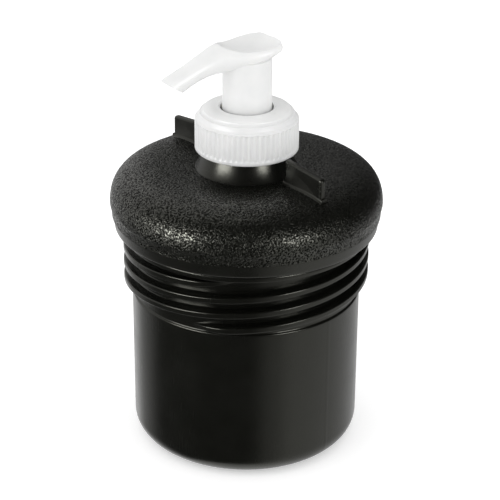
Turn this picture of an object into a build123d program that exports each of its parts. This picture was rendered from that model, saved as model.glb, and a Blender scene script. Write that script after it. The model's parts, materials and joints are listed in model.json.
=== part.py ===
from build123d import *
import os
from math import cos, radians, sin, sqrt

# Condiment pump dispenser: a wide screw-neck jar, a domed lid and a lotion-style pump.
# Millimetres. The origin is the centre of the jar's base, +Z is up, and the lid's two finger
# tabs and the mould parting line lie in the XZ plane.

# ---------------------------------------------------------------- driving dimensions
# Jar
JAR_R = 47.3                 # outside of the body
NECK_LAND_R = 46.7           # outside of the neck between the thread ribs
NECK_LAND_BOTTOM = 66.0
JAR_WALL = 2.2
JAR_FLOOR = 2.6
BASE_FILLET = 12.0
BASE_RECESS_R = 29.0         # shallow push-up, so that the jar stands on a ring
BASE_RECESS = 1.0
FLANGE_R = 50.3              # rim flange that carries the lid gasket
FLANGE_BOTTOM = 90.9
FLANGE_TOP = 93.2
FLANGE_CHAMFER = 0.45
JAR_IN_R = JAR_R - JAR_WALL

# Outside thread of the jar: three starts, right hand, square with eased edges
THREAD_STARTS = 3
THREAD_LEAD = 20.0
THREAD_CREST_R = 50.7
THREAD_CREST_WIDTH = 2.5
THREAD_ROOT_WIDTH = 3.7
THREAD_BOTTOM = 68.5         # middle of a rib at its lower end
THREAD_START_ANGLE = -72.0
THREAD_SWEEP = 382.0
THREAD_FADE = 20.0           # turn over which a rib dies into the wall, in degrees
RIB_OVERLAP = 0.3            # how deep every rib's root is sunk in its wall

# Lid
LID_WALL = 2.4
DOME_FLAT_R = 34.0           # the crown is nearly flat out to here
DOME_TOP = 119.6
DOME_R = 55.7                # widest point
DOME_WIDEST_Z = 104.8
DOME_CROWN_PULL = 15.5       # how far the crown's tangent reaches out
DOME_SIDE_PULL = 10.5        # how far the side's tangent reaches up
INSIDE_PULL_LESS = 1.6       # both reaches are this much shorter on the inside
LIP_R = 55.0                 # lower edge of the grained dome
LIP_Z = 99.8
LIP_STEP = 0.35
SKIRT_R = 53.9               # smooth band under the lip
SKIRT_BOTTOM = 94.9
NECK_FOOT_R = 19.6
NECK_FOOT_Z = 119.4
NECK_WAIST_R = 17.4
NECK_WAIST_Z = 128.6
NECK_BORE_R = 15.2
NECK_TOP = 139.8
PLUG_R = 43.0                # sleeve that screws into the jar's mouth
PLUG_WALL = 2.2
PLUG_BOTTOM = 81.5

# Quick thread between lid and jar mouth: three short ribs on each part
LID_STARTS = 3
LID_LEAD = 12.0
LID_RIB_CREST = 1.5
LID_RIB_ROOT = 2.3
LID_RIB_CREST_R = 44.7
JAR_RIB_CREST_R = 43.5
QUICK_FADE = 12.0
LID_RIB_Z = 84.4             # middle of a lid rib at its lower end, lid tight
LID_RIB_SWEEP = 55.0
JAR_RIB_SWEEP = 75.0
LID_RIB_SPACING = 1.85       # from a lid rib up to the jar rib that it grips, lid tight

# Finger tabs
TAB_INNER_R = 24.4
TAB_OUTER_R = 45.3
TAB_THICKNESS = 2.7
TAB_TOP_INNER = 129.8
TAB_TOP_OUTER = 127.7
TAB_HEADING = -3.9            # where the first tab points, in degrees from +X

# Neck thread, 38 mm finish, six threads to the inch
NECK_PITCH = 4.233
NECK_THREAD_CREST_R = 18.65
NECK_THREAD_Z = 131.3
NECK_THREAD_SWEEP = 440.0
NECK_THREAD_FADE = 14.0
NECK_RIB_ROOT = 1.7
NECK_RIB_CREST = 0.9

# Closure (ribbed screw collar)
CLOSURE_R = 21.0
CLOSURE_BOTTOM = 127.3
CLOSURE_TOP = 145.3
CLOSURE_IN_R = 19.0
CLOSURE_CEILING = 142.3
CLOSURE_HOLE_R = 10.8
CLOSURE_EDGE = 0.3           # chamfer at the open end
SHOULDER_R = 19.7            # top of the rounded shoulder over the ribs
SHOULDER_DROP = 5.0          # from the closure's top down to where the shoulder starts
BEAD_R = 19.1                # raised ring on top
BEAD_TOP_R = 17.6
ROUNDING = 1.6               # shoulder and bead
TOP_DISH_R = 12.0            # the hollow sweep from the bead to the hole's rim
HOLE_RIM_R = 12.4
CLOSURE_RIBS = 60
CLOSURE_RIB_BOTTOM = 129.2
CLOSURE_RIB_TOP = 139.9
CLOSURE_RIB_DEPTH = 0.35
GROOVE_R = 0.75              # round cutter between two ribs
CLOSURE_THREAD_R = 17.8
CLOSURE_THREAD_SWEEP = 400.0
CLOSURE_THREAD_START = 20.0
CLOSURE_THREAD_DROP = 1.3    # the collar's rib grips under the neck's rib by this much

# Pump body
STROKE = 14.0
RUNNING = 0.06               # radial running clearance
FACE_GAP = 0.02              # faces that turn on each other
HOUSING_FLANGE_R = 18.2
GASKET_THICKNESS = 1.0
HOUSING_FLANGE = 1.4
UPPER_BARREL_R = 11.8
UPPER_BARREL_IN_R = 10.4
UPPER_BARREL_FLOOR = 127.0
BARREL_R = 8.0
BARREL_IN_R = 6.6
BARREL_BOTTOM = 88.4
BALL_R = 2.8
VALVE_R = 3.5                # ball chamber
VALVE_THROAT_R = 1.8         # hole under the ball
VALVE_SEAT_Z = 81.0          # foot of the ball's conical seat
VALVE_SEAT_TOP = 83.2
SOCKET_BOTTOM = 70.0
SOCKET_R = 5.1               # outside of the valve chamber and tube socket
TUBE_R = 3.4
TUBE_IN_R = 2.4
TUBE_BOTTOM = 6.0
TUBE_TOP = 79.0
CAGE_TOP = 91.0

# Guide sleeve, stem, piston
GUIDE_R = 8.3
GUIDE_TOP = 145.0
GUIDE_FLOOR = 1.6
STEM_R = 4.5
STEM_IN_R = 3.0
STEM_FOOT_R = 3.4
STEM_FOOT_IN_R = 2.2
STEM_SHOULDER = 125.0
STEM_FOOT = 116.6
STEM_TOP = 163.6
PORT_R = 0.9
PISTON_LENGTH = 7.2
PISTON_FLOAT = 1.1
SEAT_R = 5.2
SEAT_TOP = 116.5
SEAT_BOTTOM = 115.0

# Return spring
WIRE_R = 0.45
COIL_R = 5.0
ACTIVE_COILS = 6
SPRING_POINTS_PER_TURN = 12

# Actuator head, described along its own spout axis, then turned to the rest heading
SPOUT_HEADING = -107.0
SKIRT_OUT_R = 9.95
SKIRT_IN_R = GUIDE_R + 0.1
SKIRT_LOW = 143.4
HEAD_SOCKET_R = 5.9
SKIRT_HIGH = 167.6           # the skirt ends inside the saddle
HEAD_CEILING = 161.0
HEAD_SOCKET_LOW = 151.0
TIP_REACH = 33.2
TIP_Z = 158.7
SPOUT_BORE_R = 2.7
# Head sections from tail to mouth: distance from the axis, middle height, downward tilt in degrees,
# half width and half height. The last one is the slanted mouth.
HEAD_SECTIONS = (
    (-12.8, 170.7, 9, 4.2, 1.6),
    (-11.6, 170.6, 9, 7.8, 2.8),
    (-8.6, 170.2, 9, 10.3, 3.9),
    (-3.0, 169.2, 9, 11.2, 4.9),
    (4.0, 168.0, 10, 9.8, 5.7),
    (12.0, 167.1, 16, 6.5, 6.0),
    (20.0, 164.8, 27, 4.8, 4.7),
    (27.5, 161.5, 33, 4.4, 4.3),
    (TIP_REACH, TIP_Z, 53, 4.3, 5.0),
)
# Middle line of the spout's channel, as (distance, height), running out past the mouth
CHANNEL = ((0, STEM_TOP + 1), (8, 164.9), (20, 164.4), (27.5, 161.5), (TIP_REACH, TIP_Z), (38.5, 156.1))
# Thumb dish: an ellipsoid that leans with the saddle
DISH_CENTRE = (-3.0, 179.6)
DISH_RADII = (18.2, 15.6, 11.2)
DISH_TILT = 7.0


# ---------------------------------------------------------------- small helpers
def turned_outline(outline):
    """Solid of revolution about Z from a closed outline drawn as (radius, height)."""
    return revolve(Plane.XZ * make_face(outline), Axis.Z)


def turned(points):
    """Solid of revolution about Z from the corners of a closed (radius, height) outline."""
    return turned_outline(Polyline(*points, close=True))


def ring(outer_r, inner_r, bottom, top):
    """Plain round tube or washer."""
    return turned([(inner_r, bottom), (outer_r, bottom), (outer_r, top), (inner_r, top)])


def upright_cylinder(radius, bottom, top):
    """Round cutter on the Z axis."""
    return Pos(0, 0, bottom) * Cylinder(radius, top - bottom, align=(Align.CENTER, Align.CENTER, Align.MIN))


def helical_rib(root_r, crest_r, root_width, crest_width, lead, start_angle, sweep, start_z, fade):
    """Thread rib lofted through radial sections, fading into the wall at both ends."""
    count = max(6, round(sweep / 12))
    sections = []
    for i in range(count + 1):
        along = i / count
        turn = sweep * along
        fullness = min(1.0, (turn + 2.0) / fade, (sweep - turn + 2.0) / fade)
        crest = root_r + (crest_r - root_r) * sin(radians(90 * fullness))
        angle = radians(start_angle + turn)
        z = start_z + lead * turn / 360
        corners = [
            (root_r, z - root_width / 2),
            (crest, z - crest_width / 2),
            (crest, z + crest_width / 2),
            (root_r, z + root_width / 2),
        ]
        outline = Polyline(*[(r * cos(angle), r * sin(angle), h) for r, h in corners], close=True)
        sections.append(make_face(outline))
    return loft(sections)


def one_solid(shape):
    """The single solid of a finished boolean result."""
    solids = shape.solids()
    return max(solids, key=lambda s: s.volume)


# ---------------------------------------------------------------- jar
def make_jar():
    outside = Polyline((0, 0), (JAR_R - BASE_FILLET, 0))
    corner = RadiusArc(
        (JAR_R - BASE_FILLET, 0), (JAR_R, BASE_FILLET), -BASE_FILLET
    )
    flange = Polyline(
        (JAR_R, BASE_FILLET),
        (JAR_R, NECK_LAND_BOTTOM),
        (NECK_LAND_R, NECK_LAND_BOTTOM + JAR_R - NECK_LAND_R),
        (NECK_LAND_R, FLANGE_BOTTOM),
        (FLANGE_R - FLANGE_CHAMFER, FLANGE_BOTTOM),
        (FLANGE_R, FLANGE_BOTTOM + FLANGE_CHAMFER),
        (FLANGE_R, FLANGE_TOP - FLANGE_CHAMFER),
        (FLANGE_R - FLANGE_CHAMFER, FLANGE_TOP),
        (JAR_IN_R, FLANGE_TOP),
        (JAR_IN_R, BASE_FILLET),
    )
    inner_fillet = BASE_FILLET - JAR_WALL
    inner_corner = RadiusArc(
        (JAR_IN_R, BASE_FILLET), (JAR_IN_R - inner_fillet, JAR_FLOOR), inner_fillet
    )
    floor = Polyline((JAR_IN_R - inner_fillet, JAR_FLOOR), (0, JAR_FLOOR), (0, 0))
    jar = turned_outline(outside + corner + flange + inner_corner + floor)
    jar -= Cone(BASE_RECESS_R, BASE_RECESS_R - 3, BASE_RECESS, align=(Align.CENTER, Align.CENTER, Align.MIN))
    for start in range(THREAD_STARTS):
        jar += helical_rib(
            NECK_LAND_R - RIB_OVERLAP, THREAD_CREST_R, THREAD_ROOT_WIDTH, THREAD_CREST_WIDTH, THREAD_LEAD,
            THREAD_START_ANGLE + start * 360 / THREAD_STARTS, THREAD_SWEEP, THREAD_BOTTOM, THREAD_FADE,
        )
        jar += helical_rib(
            JAR_IN_R + RIB_OVERLAP, JAR_RIB_CREST_R, LID_RIB_ROOT, LID_RIB_CREST, LID_LEAD,
            start * 360 / LID_STARTS, JAR_RIB_SWEEP, LID_RIB_Z + LID_RIB_SPACING, QUICK_FADE,
        )
    return one_solid(jar)


# ---------------------------------------------------------------- lid
def make_lid():
    neck_foot = Polyline(
        (NECK_BORE_R, NECK_TOP),
        (NECK_WAIST_R, NECK_TOP),
        (NECK_WAIST_R, NECK_WAIST_Z),
    )
    neck_flare = RadiusArc((NECK_WAIST_R, NECK_WAIST_Z), (NECK_FOOT_R, NECK_FOOT_Z), 22)
    crown_start = Line((NECK_FOOT_R, NECK_FOOT_Z), (DOME_FLAT_R, DOME_TOP))
    dome = Bezier(
        (DOME_FLAT_R, DOME_TOP),
        (DOME_FLAT_R + DOME_CROWN_PULL, DOME_TOP),
        (DOME_R, DOME_WIDEST_Z + DOME_SIDE_PULL),
        (DOME_R, DOME_WIDEST_Z),
    )
    lip = RadiusArc((DOME_R, DOME_WIDEST_Z), (LIP_R, LIP_Z), 18)
    skirt = Polyline(
        (LIP_R, LIP_Z),
        (LIP_R - LIP_STEP, LIP_Z - LIP_STEP),
        (SKIRT_R, SKIRT_BOTTOM + 0.5),
        (SKIRT_R - 0.5, SKIRT_BOTTOM),
        (PLUG_R, SKIRT_BOTTOM),
        (PLUG_R, PLUG_BOTTOM + 0.6),
        (PLUG_R - 0.6, PLUG_BOTTOM),
        (PLUG_R - PLUG_WALL, PLUG_BOTTOM),
        (PLUG_R - PLUG_WALL, SKIRT_BOTTOM + LID_WALL),
        (SKIRT_R - LID_WALL, SKIRT_BOTTOM + LID_WALL),
        (DOME_R - LID_WALL, DOME_WIDEST_Z),
    )
    inside = Bezier(
        (DOME_R - LID_WALL, DOME_WIDEST_Z),
        (DOME_R - LID_WALL, DOME_WIDEST_Z + DOME_SIDE_PULL - INSIDE_PULL_LESS),
        (DOME_FLAT_R + DOME_CROWN_PULL - INSIDE_PULL_LESS, DOME_TOP - LID_WALL),
        (DOME_FLAT_R, DOME_TOP - LID_WALL),
    )
    underside = Polyline(
        (DOME_FLAT_R, DOME_TOP - LID_WALL),
        (NECK_BORE_R, NECK_FOOT_Z - LID_WALL),
        (NECK_BORE_R, NECK_TOP),
    )
    outline = neck_foot + neck_flare + crown_start + dome + lip + skirt + inside + underside
    lid = turned_outline(outline)
    lid += helical_rib(
        NECK_WAIST_R - RIB_OVERLAP, NECK_THREAD_CREST_R, NECK_RIB_ROOT, NECK_RIB_CREST, NECK_PITCH,
        0, NECK_THREAD_SWEEP, NECK_THREAD_Z, NECK_THREAD_FADE,
    )
    for start in range(LID_STARTS):
        lid += helical_rib(
            PLUG_R - RIB_OVERLAP, LID_RIB_CREST_R, LID_RIB_ROOT, LID_RIB_CREST, LID_LEAD,
            start * 360 / LID_STARTS, LID_RIB_SWEEP, LID_RIB_Z, QUICK_FADE,
        )
    for side in (0, 180):
        lid += Rot(0, 0, TAB_HEADING + side) * finger_tab()
    return one_solid(lid)


def finger_tab():
    """One upright tab, standing on the crown in the XZ plane, with eased edges."""
    root = DOME_TOP - 2.0
    outline = Polyline(
        (TAB_INNER_R, root),
        (TAB_OUTER_R, root),
        (TAB_OUTER_R, TAB_TOP_OUTER - 1.5),
        (TAB_OUTER_R - 1.2, TAB_TOP_OUTER),
        (TAB_INNER_R, TAB_TOP_INNER),
        close=True,
    )
    tab = extrude(Plane.XZ * make_face(outline), TAB_THICKNESS / 2, both=True)
    edges = tab.edges().filter_by(lambda e: e.center().Z > DOME_TOP + 1)
    return fillet(edges.filter_by(lambda e: abs(e.center().Y) > 0.1), 0.7)


# ---------------------------------------------------------------- seals
def make_lid_gasket():
    return ring(FLANGE_R - 0.7, PLUG_R + 0.3, FLANGE_TOP + FACE_GAP, SKIRT_BOTTOM - FACE_GAP)


def make_neck_gasket():
    return ring(HOUSING_FLANGE_R, NECK_BORE_R - 1.5, NECK_TOP + FACE_GAP, NECK_TOP + GASKET_THICKNESS)


# ---------------------------------------------------------------- closure
def make_closure():
    shoulder_foot = (CLOSURE_R, CLOSURE_TOP - SHOULDER_DROP)
    shoulder_top = (SHOULDER_R, CLOSURE_TOP - SHOULDER_DROP + 1.4)
    bead_foot = (BEAD_R, CLOSURE_TOP - 2.4)
    bead_top = (BEAD_TOP_R, CLOSURE_TOP - 1.1)
    rim_foot = (HOLE_RIM_R, CLOSURE_TOP - 0.2)
    side = Polyline(
        (CLOSURE_IN_R, CLOSURE_BOTTOM),
        (CLOSURE_R - CLOSURE_EDGE, CLOSURE_BOTTOM),
        (CLOSURE_R, CLOSURE_BOTTOM + CLOSURE_EDGE),
        shoulder_foot,
    )
    shoulder = RadiusArc(shoulder_foot, shoulder_top, -ROUNDING)
    step = Line(shoulder_top, bead_foot)
    bead = RadiusArc(bead_foot, bead_top, -ROUNDING)
    dish = RadiusArc(bead_top, rim_foot, TOP_DISH_R)
    rim = Polyline(
        rim_foot,
        (CLOSURE_HOLE_R + 0.7, CLOSURE_TOP),
        (CLOSURE_HOLE_R, CLOSURE_TOP - 0.5),
        (CLOSURE_HOLE_R, CLOSURE_CEILING),
        (CLOSURE_IN_R, CLOSURE_CEILING),
        (CLOSURE_IN_R, CLOSURE_BOTTOM),
    )
    closure = turned_outline(side + shoulder + step + bead + dish + rim)
    rib_pitch = 360 / CLOSURE_RIBS
    rib_length = CLOSURE_RIB_TOP - CLOSURE_RIB_BOTTOM
    groove = Cylinder(GROOVE_R, rib_length, align=(Align.CENTER, Align.CENTER, Align.MIN))
    groove = Pos(CLOSURE_R + GROOVE_R - CLOSURE_RIB_DEPTH, 0, CLOSURE_RIB_BOTTOM) * groove
    closure -= [Rot(0, 0, i * rib_pitch) * groove for i in range(CLOSURE_RIBS)]
    thread_z = NECK_THREAD_Z + NECK_PITCH * CLOSURE_THREAD_START / 360 - CLOSURE_THREAD_DROP
    closure += helical_rib(
        CLOSURE_IN_R + RIB_OVERLAP, CLOSURE_THREAD_R, NECK_RIB_ROOT, NECK_RIB_CREST, NECK_PITCH,
        CLOSURE_THREAD_START, CLOSURE_THREAD_SWEEP, thread_z, NECK_THREAD_FADE,
    )
    return one_solid(closure)


# ---------------------------------------------------------------- pump body
def make_pump_housing():
    flange_bottom = NECK_TOP + GASKET_THICKNESS
    return turned([
        (UPPER_BARREL_IN_R, flange_bottom + HOUSING_FLANGE),
        (HOUSING_FLANGE_R, flange_bottom + HOUSING_FLANGE),
        (HOUSING_FLANGE_R, flange_bottom),
        (UPPER_BARREL_R, flange_bottom),
        (UPPER_BARREL_R, UPPER_BARREL_FLOOR - 2),
        (UPPER_BARREL_R - 2, UPPER_BARREL_FLOOR - 4),
        (BARREL_R, UPPER_BARREL_FLOOR - 4),
        (BARREL_R, BARREL_BOTTOM),
        (SOCKET_R, BARREL_BOTTOM - 3),
        (SOCKET_R, SOCKET_BOTTOM),
        (TUBE_R, SOCKET_BOTTOM),
        (TUBE_R, TUBE_TOP),
        (VALVE_THROAT_R, TUBE_TOP),
        (VALVE_THROAT_R, VALVE_SEAT_Z),
        (VALVE_R, VALVE_SEAT_TOP),
        (VALVE_R, BARREL_BOTTOM - 1.4),
        (BARREL_IN_R, BARREL_BOTTOM + 0.6),
        (BARREL_IN_R, UPPER_BARREL_FLOOR - 2),
        (UPPER_BARREL_IN_R, UPPER_BARREL_FLOOR - 2),
    ])


def make_inlet_ball():
    """Ball resting on its conical seat."""
    rise = VALVE_SEAT_TOP - VALVE_SEAT_Z
    run = VALVE_R - VALVE_THROAT_R
    apex = VALVE_SEAT_Z - VALVE_THROAT_R * rise / run
    centre = apex + BALL_R * sqrt(run ** 2 + rise ** 2) / run
    return Pos(0, 0, centre + FACE_GAP) * Sphere(BALL_R)


def make_ball_cage():
    """Ring pressed in the barrel's foot: it stops the ball and carries the spring."""
    cage = ring(BARREL_IN_R, VALVE_R + 0.4, BARREL_BOTTOM + 0.6, CAGE_TOP)
    bar = Box(2 * (VALVE_R + 1), 1.4, 1.2)
    cage += Pos(0, 0, CAGE_TOP - 0.6) * bar
    cage += Pos(0, 0, CAGE_TOP - 0.6) * Rot(0, 0, 90) * bar
    return one_solid(cage)


def make_dip_tube():
    tube = ring(TUBE_R, TUBE_IN_R, TUBE_BOTTOM, TUBE_TOP - FACE_GAP)
    wedge = Pos(0, 0, TUBE_BOTTOM) * Rot(0, 40, 0) * Box(30, 30, 10, align=(Align.CENTER, Align.CENTER, Align.MAX))
    return one_solid(tube - Pos(0, 0, 2) * wedge)


def make_guide_sleeve():
    """Chaplet: closes the barrel, guides the stem inside and the head's skirt outside."""
    floor = UPPER_BARREL_FLOOR - 2
    return turned([
        (STEM_R + RUNNING, floor),
        (UPPER_BARREL_IN_R, floor),
        (UPPER_BARREL_IN_R, floor + GUIDE_FLOOR),
        (GUIDE_R, floor + GUIDE_FLOOR),
        (GUIDE_R, GUIDE_TOP),
        (GUIDE_R - 2.2, GUIDE_TOP),
        (GUIDE_R - 2.2, floor + GUIDE_FLOOR + 2),
        (STEM_R + RUNNING, floor + GUIDE_FLOOR + 2),
    ])


# ---------------------------------------------------------------- plunger
def make_stem():
    stem = turned([
        (STEM_IN_R, STEM_TOP),
        (STEM_R, STEM_TOP),
        (STEM_R, STEM_SHOULDER),
        (STEM_FOOT_R, STEM_SHOULDER),
        (STEM_FOOT_R, STEM_FOOT),
        (STEM_FOOT_IN_R, STEM_FOOT),
        (STEM_FOOT_IN_R, STEM_SHOULDER - 1),
        (STEM_IN_R, STEM_SHOULDER + 1),
    ])
    port = Pos(0, 0, STEM_FOOT + 3.4) * Rot(0, 90, 0) * Cylinder(PORT_R, 4 * STEM_R)
    stem -= port
    stem -= Rot(0, 0, 90) * port
    return one_solid(stem)


def make_valve_post():
    """Plug in the stem's foot, with the seat that the floating piston closes on."""
    plug_r = STEM_FOOT_IN_R - RUNNING
    return turned([
        (0, SEAT_BOTTOM - 3.5),
        (COIL_R - WIRE_R - 0.5, SEAT_BOTTOM - 3.5),
        (COIL_R - WIRE_R - 0.3, SEAT_BOTTOM),
        (SEAT_R, SEAT_BOTTOM),
        (SEAT_R, SEAT_TOP - 0.5),
        (SEAT_R - 0.7, SEAT_TOP),
        (plug_r, SEAT_TOP),
        (plug_r, SEAT_TOP + 1.9),
        (0, SEAT_TOP + 1.9),
    ])


def make_piston():
    bottom = SEAT_TOP + FACE_GAP
    top = bottom + PISTON_LENGTH
    lip_r = BARREL_IN_R - RUNNING
    return turned([
        (STEM_FOOT_R + RUNNING, bottom + 1.6),
        (STEM_FOOT_R + 0.9, bottom),
        (STEM_FOOT_R + 1.4, bottom),
        (STEM_FOOT_R + 1.9, bottom + 2.2),
        (lip_r - 0.8, bottom + 2.2),
        (lip_r - 0.3, bottom + 0.4),
        (lip_r, bottom + 0.4),
        (lip_r, bottom + 1.4),
        (lip_r - 0.5, bottom + 3),
        (lip_r - 0.5, top - 2),
        (lip_r, top - 1),
        (lip_r, top),
        (lip_r - 0.4, top),
        (lip_r - 1.2, top - 2),
        (STEM_FOOT_R + 1.2, top - 2),
        (STEM_FOOT_R + 0.8, top),
        (STEM_FOOT_R + RUNNING, top),
    ])


def make_return_spring():
    """Compression spring: one closed coil at each end, open coils between."""
    low = CAGE_TOP + WIRE_R + FACE_GAP
    high = SEAT_BOTTOM - WIRE_R - FACE_GAP
    closed_pitch = 2.1 * WIRE_R
    turns = ACTIVE_COILS + 2
    active_pitch = (high - low - 2 * closed_pitch) / ACTIVE_COILS
    points = []
    for i in range(turns * SPRING_POINTS_PER_TURN + 1):
        turn = i / SPRING_POINTS_PER_TURN
        closed = min(turn, 1) + max(turn - turns + 1, 0)
        z = low + closed * closed_pitch + (turn - closed) * active_pitch
        points.append((COIL_R * cos(radians(360 * turn)), COIL_R * sin(radians(360 * turn)), z))
    wire = Spline(*points)
    start = Plane(origin=wire @ 0, z_dir=wire % 0)
    return sweep(start * Circle(WIRE_R), path=wire)


# ---------------------------------------------------------------- actuator head
def head_section(distance, middle, tilt, half_width, half_height):
    """Oval across the spout, leaning over with the spout's droop."""
    lean = radians(tilt)
    across = Plane(origin=(distance, 0, middle), x_dir=(0, 1, 0), z_dir=(cos(lean), 0, -sin(lean)))
    return across * Ellipse(half_width, half_height)


def make_actuator_head():
    head = loft([head_section(*section) for section in HEAD_SECTIONS])
    head += upright_cylinder(SKIRT_IN_R + 0.5, HEAD_CEILING, SKIRT_HIGH - 1)
    channel = Spline(*[(distance, 0, height) for distance, height in CHANNEL])
    head -= sweep(Plane(origin=channel @ 0, z_dir=channel % 0) * Circle(SPOUT_BORE_R), path=channel)
    dish = Rot(0, DISH_TILT, 0) * scale(Sphere(1), by=DISH_RADII)
    head -= Pos(DISH_CENTRE[0], 0, DISH_CENTRE[1]) * dish
    head += ring(SKIRT_OUT_R, SKIRT_IN_R, SKIRT_LOW, SKIRT_HIGH)
    head += ring(HEAD_SOCKET_R, STEM_R, HEAD_SOCKET_LOW, HEAD_CEILING + 0.5)
    head -= upright_cylinder(STEM_R, HEAD_CEILING - 1, STEM_TOP)
    head -= upright_cylinder(STEM_IN_R, STEM_TOP - 0.5, STEM_TOP + 3)
    return Rot(0, 0, SPOUT_HEADING) * one_solid(head)


# ---------------------------------------------------------------- write the pieces
PIECES = {
    "jar": make_jar,
    "lid": make_lid,
    "lid_gasket": make_lid_gasket,
    "closure": make_closure,
    "neck_gasket": make_neck_gasket,
    "pump_housing": make_pump_housing,
    "guide_sleeve": make_guide_sleeve,
    "ball_cage": make_ball_cage,
    "inlet_ball": make_inlet_ball,
    "dip_tube": make_dip_tube,
    "return_spring": make_return_spring,
    "stem": make_stem,
    "valve_post": make_valve_post,
    "piston": make_piston,
    "actuator_head": make_actuator_head,
}

os.makedirs("parts", exist_ok=True)
for name, make in PIECES.items():
    export_step(make(), f"parts/{name}.step")
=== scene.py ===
import json
import math

import bmesh
import bpy
import numpy as np
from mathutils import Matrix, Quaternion, Vector, noise


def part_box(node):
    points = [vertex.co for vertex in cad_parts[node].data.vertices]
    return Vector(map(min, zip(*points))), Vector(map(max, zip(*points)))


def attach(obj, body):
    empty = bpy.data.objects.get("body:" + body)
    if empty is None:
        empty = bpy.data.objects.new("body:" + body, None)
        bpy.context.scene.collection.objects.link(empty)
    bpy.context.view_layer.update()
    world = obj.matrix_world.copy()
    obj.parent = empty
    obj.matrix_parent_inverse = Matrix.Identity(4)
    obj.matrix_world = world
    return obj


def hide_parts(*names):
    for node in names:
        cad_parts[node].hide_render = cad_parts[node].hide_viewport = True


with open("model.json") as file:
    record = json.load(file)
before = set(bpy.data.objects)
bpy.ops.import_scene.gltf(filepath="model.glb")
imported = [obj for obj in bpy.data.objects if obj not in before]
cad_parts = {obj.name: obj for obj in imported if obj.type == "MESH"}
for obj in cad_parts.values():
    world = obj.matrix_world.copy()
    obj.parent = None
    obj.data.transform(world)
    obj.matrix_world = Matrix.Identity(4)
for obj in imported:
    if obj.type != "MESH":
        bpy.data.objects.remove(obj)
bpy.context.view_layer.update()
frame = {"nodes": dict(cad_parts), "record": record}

# Looks for the condiment pump dispenser. Outlines are drawn in millimetres as (radius, height) and
# become metres when a mesh is made. Radii and heights start from the frame's own boxes.
MM = 0.001


def node_size(node):
    """Lowest and highest corner of a CAD node, in millimetres."""
    low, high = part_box(node)
    return Vector(low) / MM, Vector(high) / MM


# ---------------------------------------------------------------- sizes
JAR_HIGH = node_size("jar")[1]
LID_LOW, LID_HIGH = node_size("lid")
CLOSURE_LOW, CLOSURE_HIGH = node_size("closure")
HEAD_LOW = node_size("actuator_head")[0]
SEAL_LOW, SEAL_HIGH = node_size("lid_gasket")

# Jar
RIM = JAR_HIGH.z
THREAD_CREST_R = 50.7
JAR_R = 47.3
JAR_SEGMENTS = 480
NECK_LAND_R = 46.7
NECK_LAND_BOTTOM = RIM - 27.0
JAR_MOUTH_R = 45.1
JAR_FLOOR = 2.6
BASE_FILLET = 12.0
FLANGE_R = 50.3
FLANGE_HEIGHT = 2.3
THREAD_STARTS = 3
THREAD_LEAD = 20.0
THREAD_SWEEP = 382.0
THREAD_START_ANGLE = -72.0
THREAD_BOTTOM = RIM - 24.7
RIB_STEP_DEGREES = 1.2

# Lid
DOME_R = LID_HIGH.x
NECK_TOP = LID_HIGH.z
DOME_TOP = NECK_TOP - 20.2
DOME_WIDEST = NECK_TOP - 35.0
CROWN_FLAT_R = 34.0
LID_WALL = 2.4
LIP_R = DOME_R - 0.7
LIP_Z = NECK_TOP - 40.0
SKIRT_R = DOME_R - 1.8
SKIRT_BOTTOM = NECK_TOP - 44.9
PLUG_R = 43.0
PLUG_IN_R = 40.8
PLUG_BOTTOM = LID_LOW.z
NECK_FOOT_R = 20.8
NECK_WAIST_R = 17.4
NECK_WAIST_Z = NECK_TOP - 11.2
NECK_BORE_R = 15.2
NECK_THREAD_R = 18.65
NECK_THREAD_BOTTOM = NECK_WAIST_Z + 2.7
NECK_PITCH = 4.233
TAB_INNER_R = 24.4
TAB_OUTER_R = 45.3
TAB_HEADING = -3.9
TAB_THICKNESS = 2.7
TAB_TOP_OUTER = DOME_TOP + 8.1
TAB_TOP_INNER = DOME_TOP + 10.2
QUICK_LEAD = 12.0
LID_SEGMENTS = 1200

# Closure
CLOSURE_R = CLOSURE_HIGH.x
CLOSURE_IN_R = 19.0
CLOSURE_RIBS = 60
CLOSURE_THREAD_R = 17.8
CLOSURE_THREAD_ANGLE = 20
CLOSURE_HOLE_R = 10.8
CLOSURE_BEAD_R = 12.4
CLOSURE_TOP_WALL = 3.0
CLOSURE_SEGMENTS = 960

# Head
SPOUT_HEADING = -107.0
HEAD_SKIRT_R = 9.95
HEAD_SKIRT_IN_R = 8.4
HEAD_SKIRT_TOP = 23.2
STEM_SOCKET_R = 5.9
SPOUT_BORE_R = 2.7
STEM_R = 4.5

# Grain of the dome, with the depth from valley to ridge
GRAIN_DEPTH = 0.12
GRAIN_SIZE = 0.66
GRAIN_STEP = 0.28
GRAIN_SEED = 5


# ---------------------------------------------------------------- outlines
def fillet_points(corner, before, after, radius, step):
    """Arc of that radius at a corner between two straight runs."""
    a = (before - corner).normalized()
    b = (after - corner).normalized()
    half = math.acos(max(-1.0, min(1.0, a.dot(b)))) / 2
    room = 0.49 * min((before - corner).length, (after - corner).length)
    reach = min(radius / math.tan(half), room)
    radius = reach * math.tan(half)
    centre = corner + (a + b).normalized() * radius / math.sin(half)
    start = corner + a * reach - centre
    turn = -start.angle_signed(corner + b * reach - centre)
    count = max(3, math.ceil(abs(turn) * radius / step))
    points = []
    for i in range(count + 1):
        angle = turn * i / count
        x = start.x * math.cos(angle) - start.y * math.sin(angle)
        y = start.x * math.sin(angle) + start.y * math.cos(angle)
        points.append(centre + Vector((x, y)))
    return points


def filled_in(points, step, closed):
    """The same outline with extra points, so that no gap is longer than the step."""
    dense = []
    last = len(points) if closed else len(points) - 1
    for i in range(last):
        a = points[i]
        b = points[(i + 1) % len(points)]
        pieces = max(1, math.ceil((b - a).length / step))
        dense += [a.lerp(b, k / pieces) for k in range(pieces)]
    if not closed:
        dense.append(points[-1])
    return dense


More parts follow.
